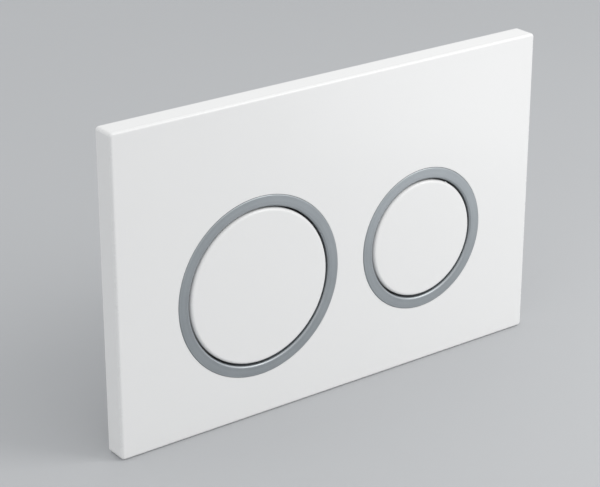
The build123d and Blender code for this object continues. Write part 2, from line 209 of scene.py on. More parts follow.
class FittingSizes(bpy.types.PropertyGroup):
    """Sizes of springs, rods, screws and other fittings behind the cover."""

    wire_radius: length("Wire radius", "Radius of the spring wire", 0.00035)
    spring_turns: number("Spring turns", "Turns of a return spring", 7, 3)
    end_pitch: length("End pitch", "Rise of a spring's first and last turn", 0.00075)
    rod_pitch: length("Rod pitch", "Pitch of the push rods' thread", 0.0015)
    rod_thread: length("Rod thread", "Depth of the push rods' thread", 0.00055)
    bolt_pitch: length("Bolt pitch", "Pitch of the distance bolts' thread", 0.0018)
    bolt_thread: length("Bolt thread", "Depth of the distance bolts' thread", 0.0007)
    bolt_neck_radius: length("Bolt neck", "Radius of the bolt in its clamp nut", 0.0034)
    bolt_radius: length("Bolt radius", "Radius of the bolt behind its collar", 0.004)
    moulded_edge: length("Moulded edge", "Round of the moulded pieces' edges", 0.00025)
    pressed_edge: length("Pressed edge", "Round of the pressed metal's edges", 0.0001)
    bolt_chamfer: length("Bolt chamfer", "Chamfer at the ends of the distance bolts", 0.0008)
    hex_chamfer: length("Hexagon chamfer", "Height of the chamfer on hexagon corners", 0.0005)
    nut_thread_radius: length("Nut thread radius", "Radius of the lock nuts' bore", 0.00355)
    clamp_bore_radius: length("Clamp bore", "Radius of the clamp nuts' bore", 0.00345)
    clamp_edge: length("Clamp edge", "Round of the clamp nuts' edges", 0.0005)
    bolt_collar: length("Bolt collar", "Thickness of the distance bolts' collar", 0.004)
    pad_bore_radius: length("Pad bore", "Radius of the rod's socket in a pad", 0.00355)
    pad_end: length("Pad end", "Thickness of a pad's end", 0.0025)
    pad_round: length("Pad round", "Round of a pad's end", 0.0015)
    pad_groove: length("Pad groove", "Depth of the grip grooves round a pad", 0.0003)
    screw_radius: length("Screw radius", "Radius of the carrier screws", 0.0014)
    screw_head_radius: length("Screw head", "Radius of the screw heads", 0.003)
    screw_head_height: length("Screw head height", "Height of the screw heads", 0.002)
    screw_slot_width: length("Slot width", "Width of the cross slot in a screw head", 0.0009)
    screw_slot_length: length("Slot length", "Length of the cross slot in a screw head", 0.0036)
    screw_slot_depth: length("Slot depth", "Depth of the cross slot in a screw head", 0.0012)
    screw_head_round: length("Screw head round", "Round of the screw heads", 0.0008)
    stop_head: length("Stop head", "Height of the rubber stops' heads", 0.0015)
    stop_radius: length("Stop radius", "Radius of the rubber stops' heads", 0.0024)
    stop_neck_radius: length("Stop neck", "Radius of the rubber stops in the carrier", 0.0014)
    stop_barb: length("Stop barb", "Length of the barb behind the carrier", 0.0012)
    stop_barb_radius: length("Stop barb radius", "Radius of the barb behind the carrier", 0.0019)
    stop_inset: length("Stop inset", "Distance of the stops from the edge of the button", 0.001)
    stop_count: number("Stops", "Rubber stops for each button", 3, 1)
    rivet_radius: length("Rivet radius", "Radius of the latch rivets", 0.0015)
    rivet_head_height: length("Rivet head", "Height of the rivet heads", 0.0009)
    rivet_head_round: length("Rivet head round", "Round of the rivet heads", 0.0007)
    grip_count: number("Grips", "Finger flutes on a clamp nut", 10, 3)
    grip_radius: length("Grip radius", "Radius of the finger flutes on a clamp nut", 0.0014)


class FinishColours(bpy.types.PropertyGroup):
    """Colours of the finishes."""

    white: colour("White plastic", "Cover and buttons", (0.859, 0.859, 0.858))
    chrome: colour("Matt chrome", "Trim rings", (0.418, 0.448, 0.469))
    grey: colour("Grey plastic", "Carrier", (0.4, 0.41, 0.43))
    frame_grey: colour("Frame grey", "Mounting frame, a darker batch of the same plastic", (0.27, 0.28, 0.3))
    pale: colour("Pale plastic", "Plungers, push rods and their nuts", (0.74, 0.735, 0.68))
    dark: colour("Dark plastic", "Distance bolts and clamp nuts", (0.085, 0.085, 0.092))
    zinc: colour("Zinc steel", "Springs, screws, clips and latches", (0.62, 0.62, 0.6))
    rubber: colour("Rubber", "Stops and rod pads", (0.045, 0.045, 0.045))


class StageSettings(bpy.types.PropertyGroup):
    """The camera, the light and the floor."""

    camera_place: position("Camera", "Place of the camera", (-0.53078, -0.70314, 0.37069))
    camera_aim: position("Aim", "Place that the camera looks at", (-0.0216, -0.012, 0.0033))
    camera_lens: FloatProperty(name="Lens", description="Focal length in mm", default=118.84, unit="CAMERA")
    key_place: position("Key lamp", "Place of the main lamp", (0.51, -0.55, 0.57))
    key_size: length("Key size", "Width of the main lamp", 0.45)
    key_power: lamp_power("Key power", "Power of the main lamp", 2.92)
    key_tint: colour("Key tint", "Colour of the main lamp", (1.0, 0.985, 0.96))
    fill_place: position("Fill lamp", "Place of the low lamp that the rings reflect", (0.25, -0.25, -0.05))
    fill_size: length("Fill size", "Width of the low lamp", 0.16)
    fill_power: lamp_power("Fill power", "Power of the low lamp", 0.09)
    sky: colour("Sky", "Colour of the light from all around", (0.842, 0.85, 0.854))
    floor: colour("Floor", "Colour of the floor", (0.5, 0.51, 0.525))
    floor_size: length("Floor size", "Width of the floor", 30.0)
    floor_gap: length("Floor gap", "Gap between the cover's lower edge and the floor", 0.0002)


class FlushPlateSettings(bpy.types.PropertyGroup):
    """All the settings of the plate."""

    cover: PointerProperty(type=CoverSizes)
    trim: PointerProperty(type=TrimSizes)
    button: PointerProperty(type=ButtonSizes)
    fitting: PointerProperty(type=FittingSizes)
    finish: PointerProperty(type=FinishColours)
    stage: PointerProperty(type=StageSettings)


# Node trees


def put(tree, kind, values=None, **options):
    """Adds a node, sets its options, and sets or links its inputs by name or number."""
    node = tree.nodes.new(kind)
    for option, choice in options.items():
        setattr(node, option, choice)
    for key, value in (values or {}).items():
        if isinstance(value, bpy.types.NodeSocket):
            tree.links.new(value, node.inputs[key])
        else:
            node.inputs[key].default_value = value
    return node


def output(tree, kind, values=None, **options):
    """Adds a node and gives its first output."""
    return put(tree, kind, values, **options).outputs[0]


def maths(tree, operation, *values, clamp=False):
    """The result of a Math node."""
    return output(tree, "ShaderNodeMath", dict(enumerate(values)), operation=operation, use_clamp=clamp)


def start_tree(name, kind, inputs, outputs):
    """A node group with named sockets, each given as (name, type, default)."""
    tree = bpy.data.node_groups.new(name, kind)
    for way, sockets in (("INPUT", inputs), ("OUTPUT", outputs)):
        for label, form, default in sockets:
            socket = tree.interface.new_socket(label, in_out=way, socket_type="NodeSocket" + form)
            if default is not None:
                socket.default_value = default
    return tree, tree.nodes.new("NodeGroupInput").outputs, tree.nodes.new("NodeGroupOutput").inputs


def shape_tree(name, *sizes):
    """A Geometry Nodes tree with one geometry in and one out, sizes as named inputs, and a material."""
    geometry = ("Geometry", "Geometry", None)
    inputs = [geometry, *sizes, ("Material", "Material", None)]
    return start_tree(name, "GeometryNodeTree", inputs, [geometry])


def end_shape(tree, given, result, geometry):
    """Ends a Geometry Nodes tree: plain geometry, smooth faces and the material."""
    real = output(tree, "GeometryNodeRealizeInstances", {0: geometry})
    smooth = output(tree, "GeometryNodeSetShadeSmooth", {"Geometry": real})
    painted = output(tree, "GeometryNodeSetMaterial", {"Geometry": smooth, "Material": given["Material"]})
    tree.links.new(painted, result[0])
    return tree


def along_y(tree, geometry, place, turn=-math.pi / 2):
    """Turns geometry that was made along Z to run along +Y, and moves it to its place."""
    upright = output(tree, "GeometryNodeTransform", {"Geometry": geometry, "Rotation": (turn, 0, 0)})
    return output(tree, "GeometryNodeTransform", {"Geometry": upright, "Translation": place})


def circle_curve(tree, steps, radius):
    """A circle to sweep, or to sweep along."""
    return output(tree, "GeometryNodeCurvePrimitiveCircle", {"Resolution": steps, "Radius": radius})


def point_parts(tree):
    """The x, y and z of each point."""
    return put(tree, "ShaderNodeSeparateXYZ", {0: output(tree, "GeometryNodeInputPosition")}).outputs


def reshaped(tree, geometry, x, y, z):
    """Geometry with its points moved to new places."""
    place = output(tree, "ShaderNodeCombineXYZ", {0: x, 1: y, 2: z})
    return output(tree, "GeometryNodeSetPosition", {"Geometry": geometry, "Position": place})


def copies_on(tree, points, shape, turn):
    """Copies of a shape on some points, each turned about Y."""
    rotation = output(tree, "ShaderNodeCombineXYZ", {1: turn})
    return output(tree, "GeometryNodeInstanceOnPoints", {
        "Points": points, "Instance": shape, "Rotation": rotation,
    })


def ring_tree(name):
    """Sweeps a section, drawn as (radius from the path, place along the axis), round a circle."""
    tree, given, result = shape_tree(
        name, ("Path Radius", "Float", 0.04), ("Steps", "Int", 192), ("Place", "Vector", (0, 0, 0)),
    )
    section = output(tree, "GeometryNodeMeshToCurve", {"Mesh": given["Geometry"]})
    path = circle_curve(tree, given["Steps"], given["Path Radius"])
    swept = output(tree, "GeometryNodeCurveToMesh", {"Curve": path, "Profile Curve": section})
    return end_shape(tree, given, result, along_y(tree, swept, given["Place"], math.pi / 2))


def spring_tree(name):
    """A wire spring along Y with its first and last turn closed."""
    tree, given, result = shape_tree(
        name, ("Radius", "Float", 0.003), ("Wire Radius", "Float", 0.0003), ("Turns", "Float", 7.0),
        ("Length", "Float", 0.01), ("End Pitch", "Float", 0.0007), ("Place", "Vector", (0, 0, 0)),
    )
    work = partial(maths, tree)
    spiral = output(tree, "GeometryNodeCurveSpiral", {
        "Resolution": COIL_STEPS, "Rotations": given["Turns"], "Start Radius": given["Radius"],
        "End Radius": given["Radius"], "Height": given["Length"],
    })
    turn = work("MULTIPLY", output(tree, "GeometryNodeSplineParameter"), given["Turns"])
    active = work("SUBTRACT", given["Turns"], 2.0)
    ends = work("MULTIPLY", given["End Pitch"], 2.0)
    pitch = work("DIVIDE", work("SUBTRACT", given["Length"], ends), active)
    first = work("MULTIPLY", work("MINIMUM", turn, 1.0), given["End Pitch"])
    after = work("MAXIMUM", work("SUBTRACT", turn, 1.0), 0.0)
    middle_rise = work("MULTIPLY", work("MINIMUM", after, active), pitch)
    over = work("MAXIMUM", work("SUBTRACT", after, active), 0.0)
    last = work("MULTIPLY", over, given["End Pitch"])
    rise = work("ADD", work("ADD", first, middle_rise), last)
    spot = point_parts(tree)
    coil = reshaped(tree, spiral, spot[0], spot[1], rise)
    wire = circle_curve(tree, WIRE_STEPS, given["Wire Radius"])
    swept = output(tree, "GeometryNodeCurveToMesh", {"Curve": coil, "Profile Curve": wire, "Fill Caps": True})
    return end_shape(tree, given, result, along_y(tree, swept, given["Place"]))


def thread_tree(name):
    """A threaded rod along Y: a fine cylinder whose radius follows a helix and fades out at both ends."""
    tree, given, result = shape_tree(
        name, ("Radius", "Float", 0.003), ("Depth", "Float", 0.0005), ("Pitch", "Float", 0.001),
        ("Length", "Float", 0.05), ("Chamfer", "Float", 0.0005), ("Rows", "Int", 100),
        ("Place", "Vector", (0, 0, 0)),
    )
    work = partial(maths, tree)
    blank = output(tree, "GeometryNodeMeshCylinder", {
        "Vertices": BAR_STEPS, "Side Segments": given["Rows"], "Radius": given["Radius"],
        "Depth": given["Length"],
    })
    spot = point_parts(tree)
    angle = work("DIVIDE", work("ARCTAN2", spot[1], spot[0]), 2 * math.pi)
    phase = work("FRACT", work("SUBTRACT", work("DIVIDE", spot[2], given["Pitch"]), angle))
    ridge = work("ABSOLUTE", work("SUBTRACT", work("MULTIPLY", phase, 2.0), 1.0))
    flank = work("MULTIPLY_ADD", ridge, FLANK_SLOPE, (1 - FLANK_SLOPE) / 2, clamp=True)
    half = work("DIVIDE", given["Length"], 2.0)
    to_end = work("SUBTRACT", half, work("ABSOLUTE", spot[2]))
    past_end = work("SUBTRACT", to_end, given["Chamfer"])
    fade = work("DIVIDE", past_end, given["Pitch"], clamp=True)
    cut = work("SUBTRACT", 1.0, work("MULTIPLY", flank, fade))
    root = work("MULTIPLY", given["Depth"], cut)
    bevel = work("MAXIMUM", work("SUBTRACT", given["Chamfer"], to_end), 0.0)
    radius = work("SUBTRACT", work("SUBTRACT", given["Radius"], root), bevel)
    share = work("DIVIDE", radius, given["Radius"])
    x, y = work("MULTIPLY", spot[0], share), work("MULTIPLY", spot[1], share)
    rod = reshaped(tree, blank, x, y, spot[2])
    return end_shape(tree, given, result, along_y(tree, rod, given["Place"]))


def places_tree(name):
    """Puts copies of a shape on the points of a mesh, each turned about Y by a seeded angle."""
    tree, given, result = shape_tree(
        name, ("Shape", "Object", None), ("Most Turn", "Float", 0.0), ("Seed", "Int", 4),
    )
    shape = put(tree, "GeometryNodeObjectInfo", {"Object": given["Shape"]}).outputs["Geometry"]
    turn = put(
        tree, "FunctionNodeRandomValue", {3: given["Most Turn"], "Seed": given["Seed"]}, data_type="FLOAT",
    ).outputs[1]
    return end_shape(tree, given, result, copies_on(tree, given["Geometry"], shape, turn))


def around_tree(name):
    """Spreads copies of its geometry evenly about a line along Y."""
    tree, given, result = shape_tree(name, ("Count", "Int", 4), ("Place", "Vector", (0, 0, 0)))
    spots = output(tree, "GeometryNodePoints", {"Count": given["Count"], "Position": given["Place"]})
    step = maths(tree, "DIVIDE", 2 * math.pi, given["Count"])
    turn = maths(tree, "MULTIPLY", output(tree, "GeometryNodeInputIndex"), step)
    return end_shape(tree, given, result, copies_on(tree, spots, given["Geometry"], turn))


TREES = {
    "Swept Ring": ring_tree, "Return Spring": spring_tree, "Threaded Rod": thread_tree,
    "Shape At Places": places_tree, "Copies Around": around_tree,
}


def group_named(name, makers):
    """A node group, built by its maker when it is first asked for."""
    return bpy.data.node_groups.get(name) or makers[name](name)


# Finishes


def noise(tree, where, scale, detail):
    """Noise at a place on a piece."""
    return output(tree, "ShaderNodeTexNoise", {"Vector": where, "Scale": scale, "Detail": detail})


def stretched(tree, value, reach):
    """A value stretched so that its reach, given as (low, high), runs from 0 to 1."""
    return output(tree, "ShaderNodeMapRange", {"Value": value, "From Min": reach[0], "From Max": reach[1]})


def weighted(tree, first, second, shares):
    """Two values added by their shares."""
    return maths(tree, "MULTIPLY_ADD", first, shares[0], maths(tree, "MULTIPLY", second, shares[1]))


def start_effect(name, inputs, *outputs):
    """A shader node group with named values in and out, and the place on the piece that it reads."""
    values = [(label, "Float", None) for label in outputs]
    tree, given, result = start_tree(name, "ShaderNodeTree", inputs, values)
    return tree, given, result, put(tree, "ShaderNodeTexCoord").outputs["Object"]


def grain_group(name):
    """Moulded plastic or rubber: a fine grain, and broad soft clouds of tone."""
    inputs = [("Grain Size", "Float", 0.0004), ("Cloud Size", "Float", 0.03)]
    tree, given, result, spot = start_effect(name, inputs, "Grain", "Cloud")
    for label, detail in (("Grain", 4.0), ("Cloud", 2.0)):
        scale = maths(tree, "DIVIDE", 1.0, given[label + " Size"])
        tree.links.new(stretched(tree, noise(tree, spot, scale, detail), NOISE_REACH), result[label])
    return tree


def scuff_group(name):
    """Fine rubbed streaks that handling leaves, as a mask."""
    inputs = [("Streak Width", "Float", 0.0006), ("Amount", "Float", 0.4)]
    tree, given, result, spot = start_effect(name, inputs, "Streaks")
    drawn_out = output(tree, "ShaderNodeMapping", {
        "Vector": spot, "Rotation": STREAK_TURN, "Scale": STREAK_STRETCH,
    })
    scale = maths(tree, "DIVIDE", 1.0, given["Streak Width"])
    sharp = stretched(tree, noise(tree, drawn_out, scale, 3.0), STREAK_REACH)
    where = stretched(tree, noise(tree, spot, STREAK_PATCH_SCALE, 2.0), STREAK_PATCH_REACH)
    both = maths(tree, "MULTIPLY", sharp, where)
    tree.links.new(maths(tree, "MULTIPLY", both, given["Amount"]), result["Streaks"])
    return tree


def lines_group(name):
    """Fine lines that turning or brushing leaves around an axis along Y."""
    inputs = [("Centre", "Vector", (0, 0, 0)), ("Line Width", "Float", 0.0003)]
    tree, given, result, spot = start_effect(name, inputs, "Lines")
    offset = output(tree, "ShaderNodeVectorMath", {0: spot, 1: given["Centre"]}, operation="SUBTRACT")
    flat = output(tree, "ShaderNodeVectorMath", {0: offset, 1: (1, 0, 1)}, operation="MULTIPLY")
    reach = put(tree, "ShaderNodeVectorMath", {0: flat}, operation="LENGTH").outputs["Value"]
    wander = noise(tree, spot, LINE_DRIFT_SCALE, 1.0)
    drift = maths(tree, "MULTIPLY_ADD", wander, LINE_DRIFT, reach)
    along = maths(tree, "DIVIDE", drift, given["Line Width"])
    lines = output(
        tree, "ShaderNodeTexNoise", {"W": along, "Scale": 1.0, "Detail": 3.0}, noise_dimensions="1D",
    )
    tree.links.new(stretched(tree, lines, NOISE_REACH), result["Lines"])
    return tree


def wear_group(name):
    """Rubbed edges: the marks that the meshes carry along their edges, broken up into patches."""
    inputs = [("Patch Size", "Float", 0.004), ("Amount", "Float", 0.6)]
    tree, given, result, spot = start_effect(name, inputs, "Wear")
    mark = put(tree, "ShaderNodeAttribute", attribute_name=EDGE_MARK).outputs["Fac"]
    scale = maths(tree, "DIVIDE", 1.0, given["Patch Size"])
    where = stretched(tree, noise(tree, spot, scale, 4.0), WEAR_REACH)
    both = maths(tree, "MULTIPLY", mark, where)
    tree.links.new(maths(tree, "MULTIPLY", both, given["Amount"]), result["Wear"])
    return tree


EFFECTS = {
    "Moulded Grain": grain_group, "Handling Streaks": scuff_group, "Turned Lines": lines_group,
    "Edge Wear": wear_group,
}


def effect(tree, name, **sizes):
    """Places a shared effect in a material with its own sizes, and gives its outputs."""
    node = put(tree, "ShaderNodeGroup", node_tree=group_named(name, EFFECTS))
    for label, value in sizes.items():
        node.inputs[label.replace("_", " ").title()].default_value = value
    return node.outputs


def shade(tint, share):
    """A colour made lighter or darker, with full alpha."""
    return tuple(min(1.0, part * share) for part in tint) + (1.0,)


def start_finish(name):
    """A material with its Principled shader."""
    finish = bpy.data.materials.new(name)
    finish.use_nodes = True
    tree = finish.node_tree
    return finish, tree, tree.nodes["Principled BSDF"]


def between(tree, mask, first, last):
    """A colour that goes from the first to the last as a mask goes from 0 to 1."""
    return put(tree, "ShaderNodeMix", {0: mask, 6: first, 7: last}, data_type="RGBA").outputs[2]


def tinted(tree, mask, tint, spread):
    """A colour that drifts a little either side of a tint as a mask goes from 0 to 1."""
    return between(tree, mask, shade(tint, 1 - spread), shade(tint, 1 + spread))


def surfaced(tree, shader, colours, rough, mask, handled, bump):
    """Gives a shader its colours, its gloss and the relief of its grain or lines."""
    gloss = output(tree, "ShaderNodeMapRange", {"Value": mask, "To Min": rough[0], "To Max": rough[1]})
    tree.links.new(colours, shader.inputs["Base Color"])
    tree.links.new(maths(tree, "ADD", gloss, handled), shader.inputs["Roughness"])
    tree.links.new(output(tree, "ShaderNodeBump", bump), shader.inputs["Normal"])


def moulded_finish(name, tint, spread, grain, rough, relief, streaks, edge_tint):
    """A moulded material: tone, gloss and grain vary, and handling leaves streaks and rubbed edges."""
    finish, tree, shader = start_finish(name)
    surface = effect(tree, "Moulded Grain", grain_size=grain, cloud_size=0.028)
    rubbed = effect(tree, "Handling Streaks", streak_width=0.0005, amount=streaks)["Streaks"]
    wear = effect(tree, "Edge Wear", patch_size=0.005, amount=0.7)["Wear"]
    tone = weighted(tree, surface["Grain"], surface["Cloud"], GRAIN_AND_CLOUD)
    colours = between(tree, wear, tinted(tree, tone, tint, spread), shade(tint, edge_tint))
    handled = weighted(tree, rubbed, wear, STREAKS_AND_WEAR)
    bump = {"Height": surface["Grain"], "Distance": grain * GRAIN_HEIGHT, "Strength": relief}
    surfaced(tree, shader, colours, rough, surface["Cloud"], handled, bump)
    return finish


def metal_finish(name, tint, spread, rough, centre, line_width, relief, edge_tint, edge_gloss):
    """A metal with fine and broad lines around an axis, a cloudy tone, faint streaks and rubbed edges."""
    finish, tree, shader = start_finish(name)
    shader.inputs["Metallic"].default_value = 1.0
    surface = effect(tree, "Moulded Grain", grain_size=0.0004, cloud_size=0.02)
    fine = effect(tree, "Turned Lines", centre=centre, line_width=line_width)["Lines"]
    broad = effect(tree, "Turned Lines", centre=centre, line_width=line_width * BROAD_LINES)["Lines"]
    rubbed = effect(tree, "Handling Streaks", streak_width=0.0004, amount=0.35)["Streaks"]
    wear = effect(tree, "Edge Wear", patch_size=0.006, amount=0.6)["Wear"]
    lines = weighted(tree, fine, broad, FINE_AND_BROAD)
    pattern = weighted(tree, lines, surface["Grain"], LINES_AND_GRAIN)
    tone = weighted(tree, pattern, surface["Cloud"], PATTERN_AND_CLOUD)
    colours = between(tree, wear, tinted(tree, tone, tint, spread), shade(tint, edge_tint))
    handled = weighted(tree, rubbed, wear, (METAL_STREAKS, edge_gloss))
    bump = {"Height": pattern, "Distance": line_width * LINE_HEIGHT, "Strength": relief}
    surfaced(tree, shader, colours, rough, pattern, handled, bump)
    return finish


FINISHES = {
    "white_plastic": (moulded_finish, "white", {
        "spread": 0.003, "grain": 0.0003, "rough": (0.235, 0.265), "relief": 0.015, "streaks": 0.03,
        "edge_tint": 1.005,
    }),
    "grey_plastic": (moulded_finish, "grey", {
        "spread": 0.09, "grain": 0.0006, "rough": (0.46, 0.62), "relief": 0.3, "streaks": 0.5,
        "edge_tint": 1.15,
    }),
    "pale_plastic": (moulded_finish, "pale", {
        "spread": 0.04, "grain": 0.0006, "rough": (0.36, 0.5), "relief": 0.12, "streaks": 0.4,
        "edge_tint": 1.06,
    }),
    "dark_plastic": (moulded_finish, "dark", {
        "spread": 0.14, "grain": 0.0005, "rough": (0.38, 0.54), "relief": 0.2, "streaks": 0.6,
        "edge_tint": 1.5,
    }),
    "rubber": (moulded_finish, "rubber", {
        "spread": 0.18, "grain": 0.0003, "rough": (0.66, 0.82), "relief": 0.3, "streaks": 0.3,
        "edge_tint": 1.4,
    }),
    "steel": (metal_finish, "zinc", {
        "spread": 0.1, "rough": (0.24, 0.4), "centre": (0.0, 0.0, 0.0), "line_width": 0.0005,
        "relief": 0.06, "edge_tint": 1.08, "edge_gloss": -0.06,
    }),
    "matt_chrome": (metal_finish, "chrome", {
        "spread": 0.12, "rough": (0.38, 0.48), "line_width": 0.00025, "relief": 0.1, "edge_tint": 1.0,
        "edge_gloss": 0.08,
    }),
}


def make_finish(slot, name, tint=None, **changes):
    """A new material in a slot's finish, in the finish's own colour unless another is named."""
    make, own_tint, values = FINISHES[slot]
    colours = bpy.context.scene.flush_plate.finish
    return make(name, getattr(colours, tint or own_tint), **values, **changes)


def finish_of(slot):
    """The finish for a material slot, made when it is first asked for."""
    name = "finished_" + slot
    return bpy.data.materials.get(name) or make_finish(slot, name)


# Meshes


def middle(node):
    """The middle of a node's box."""
    low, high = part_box(node)
    return (low + high) / 2


def axis(node):
    """The (x, z) place of the line along Y through the middle of a node."""
    centre = middle(node)
    return centre.x, centre.z


def half_width(node):
    """Half the width of a node's box, which is the radius of a round one."""
    low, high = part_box(node)
    return (high.x - low.x) / 2


def ring_bore(name, trim):
    """The radius of a ring's bore around its button."""
    return half_width(name + "_cap") + trim.gap


def boss_places():
    """The cover's bosses stand over the carrier's screws: two rows of three, one between the rings."""
    low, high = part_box("carrier_screws")
    inset = bpy.context.scene.flush_plate.fitting.screw_head_radius
    midway = (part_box("full_flush_ring")[1].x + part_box("part_flush_ring")[0].x) / 2
    columns = (low.x + inset, midway, high.x - inset)
    return [(x, z) for x in columns for z in (low.z + inset, high.z - inset)]


def rounded(points, steps=ARC_STEPS):
    """A closed line of (u, v) points, with an arc at each corner that gives a radius as a third number."""
    line = []
    for index, point in enumerate(points):
        corner = Vector(point[:2])
        if len(point) == 2:
            line.append(corner)
            continue
        to_last = (Vector(points[index - 1][:2]) - corner).normalized()
        to_next = (Vector(points[(index + 1) % len(points)][:2]) - corner).normalized()
        half = to_last.angle(to_next) / 2
        centre = corner + (to_last + to_next).normalized() * (point[2] / math.sin(half))
        reach = point[2] / math.tan(half)
        first = corner + to_last * reach - centre
        last = corner + to_next * reach - centre
        turn = math.pi - 2 * half
        for step in range(steps + 1):
            share = step / steps
            arm = first * math.sin((1 - share) * turn) + last * math.sin(share * turn)
            line.append(centre + arm / math.sin(turn))
    return line


def circle(place, radius, y, steps):
    """Points on a circle about a line along Y."""
    angles = [2 * math.pi * step / steps for step in range(steps)]
    return [Vector((place[0] + radius * math.cos(a), y, place[1] + radius * math.sin(a))) for a in angles]


def rectangle(half_x, half_z, radius, y, steps=CORNER_STEPS):
    """Points on a rectangle with round corners, at one place along Y."""
    points = []
    for quarter, (side, up) in enumerate(((1, 1), (-1, 1), (-1, -1), (1, -1))):
        for step in range(steps + 1):
            angle = (quarter + step / steps) * math.pi / 2
            x = side * (half_x - radius) + radius * math.cos(angle)
            z = up * (half_z - radius) + radius * math.sin(angle)
            points.append(Vector((x, y, z)))
    return points


def add_loop(bm, points):
    """Adds the points of a loop."""
    return [bm.verts.new(point) for point in points]


def loft(bm, loops):
    """Faces between loops that follow each other, where a loop of one point is a pole."""
    for first, last in zip(loops, loops[1:]):
        for step in range(max(len(first), len(last))):
            corners = [
                first[step % len(first)], first[(step + 1) % len(first)],
                last[(step + 1) % len(last)], last[step % len(last)],
            ]
            corners = list(dict.fromkeys(corners))
            if len(corners) > 2:
                bm.faces.new(corners)


def fill(bm, *loops):
    """A flat face inside the first loop, with the other loops as holes."""
    edges = []
    for loop in loops:
        for first, last in zip(loop, loop[1:] + loop[:1]):
            edges.append(bm.edges.get((first, last)) or bm.edges.new((first, last)))
    bmesh.ops.triangle_fill(bm, use_beauty=True, use_dissolve=False, edges=edges)


def end_mesh(bm, name):
    """Closes a bmesh into a mesh whose faces point outwards."""
    bmesh.ops.recalc_face_normals(bm, faces=bm.faces)
    mesh = bpy.data.meshes.new(name)
    bm.to_mesh(mesh)
    bm.free()
    return mesh


def turned(name, profile, place, steps):
    """A mesh turned about a line along Y from a closed profile of (radius, y) points."""
    bm = bmesh.new()
    loops = []
    for radius, y in profile:
        on_axis = radius < AXIS_RADIUS
        loops.append(add_loop(bm, circle(place, radius, y, 1 if on_axis else steps)))
    loft(bm, loops + loops[:1])
    return end_mesh(bm, name)


def bar(name, radius, front, back, places, steps=BAR_STEPS):
    """Round bars along Y at some places, as one mesh."""
    bm = bmesh.new()
    for place in places:
        loops = [add_loop(bm, circle(place, radius, y, steps)) for y in (front, back)]
        loft(bm, loops)
        for loop in loops:
            bm.faces.new(loop)
    return end_mesh(bm, name)


def blocks(name, boxes):
    """Boxes given as (low corner, high corner), as one mesh."""
    bm = bmesh.new()
    for low, high in boxes:
        low, high = Vector(low), Vector(high)
        size = Matrix.Diagonal((high - low).to_4d())
        bmesh.ops.create_cube(bm, size=1, matrix=Matrix.Translation((low + high) / 2) @ size)
    return end_mesh(bm, name)


def hexagon(name, radius, front, back, place, chamfer):
    """A hexagon along Y with its corners turned off at both ends."""
    flat = radius * math.cos(math.pi / 6)
    lens = [
        (0.0, front), (flat, front), (radius, front + chamfer),
        (radius, back - chamfer), (flat, back), (0.0, back),
    ]
    prism = bar(name, radius * HEX_SPARE, front, back, [place], 6)
    return combined(prism, ("INTERSECT", turned("lens", lens, place, LENS_STEPS)))


def points_mesh(name, points, closed=False):
    """A mesh of bare points, or of a closed line."""
    mesh = bpy.data.meshes.new(name)
    edges = [(index, (index + 1) % len(points)) for index in range(len(points))] if closed else []
    mesh.from_pydata(points, edges, [])
    return mesh


def cad_copy(node):
    """A copy of a node's mesh with its points merged and its flat triangles joined."""
    bm = bmesh.new()
    bm.from_mesh(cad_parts[node].data)
    bmesh.ops.remove_doubles(bm, verts=bm.verts, dist=MERGE_DISTANCE)
    bmesh.ops.dissolve_limit(
        bm, angle_limit=FLAT_ANGLE, verts=bm.verts, edges=bm.edges, use_dissolve_boundaries=False
    )
    return end_mesh(bm, node + "_copy")


def shown(name, mesh):
    """A new object for a mesh."""
    thing = bpy.data.objects.new(name, mesh)
    bpy.context.scene.collection.objects.link(thing)
    return thing


def evaluated(thing):
    """The mesh of an object with its modifiers applied. The object goes."""
    graph = bpy.context.evaluated_depsgraph_get()
    mesh = bpy.data.meshes.new_from_object(
        thing.evaluated_get(graph), preserve_all_data_layers=True, depsgraph=graph,
    )
    bpy.data.objects.remove(thing)
    return mesh


def grown(group, material, mesh=None, **sizes):
    """The plain mesh that one of the Geometry Nodes trees makes, from named sizes."""
    thing = shown("grown", mesh or bpy.data.meshes.new("grown"))
    modifier = thing.modifiers.new("shape", "NODES")
    modifier.node_group = group_named(group, TREES)
    values = {"Material": material}
    values.update({label.replace("_", " ").title(): value for label, value in sizes.items()})
    for socket in modifier.node_group.interface.items_tree:
        if socket.in_out == "INPUT" and socket.name in values:
            modifier[socket.identifier] = values[socket.name]
    return evaluated(thing)


def combined(mesh, *steps):
    """A mesh after other meshes are joined to it or cut from it, each given as (operation, mesh)."""
    thing = shown("base", mesh)
    others = []
    for operation, other in steps:
        others.append(shown("other", other))
        modifier = thing.modifiers.new(operation, "BOOLEAN")
        modifier.operation = operation
        modifier.solver = "EXACT"
        modifier.object = others[-1]
    result = evaluated(thing)
    for other in others:
        bpy.data.objects.remove(other)
    return result


def placed(shape, material, points, most_turn=0.0, seed=4):
    """Copies of a shape on some points, as one mesh."""
    thing = shown("shape", shape)
    spots = points_mesh("places", points)
    mesh = grown("Shape At Places", material, spots, shape=thing, most_turn=most_turn, seed=seed)
    bpy.data.objects.remove(thing)
    return mesh


def threaded(slot, radius, front, back, place, depth, pitch, chamfer):
    """A threaded rod along Y, from front to back, in the finish of a slot."""
    return grown(
        "Threaded Rod", finish_of(slot), radius=radius, depth=depth, pitch=pitch, length=back - front,
        chamfer=chamfer, rows=round((back - front) / pitch * PITCH_ROWS),
        place=(place[0], (front + back) / 2, place[1]),
    )


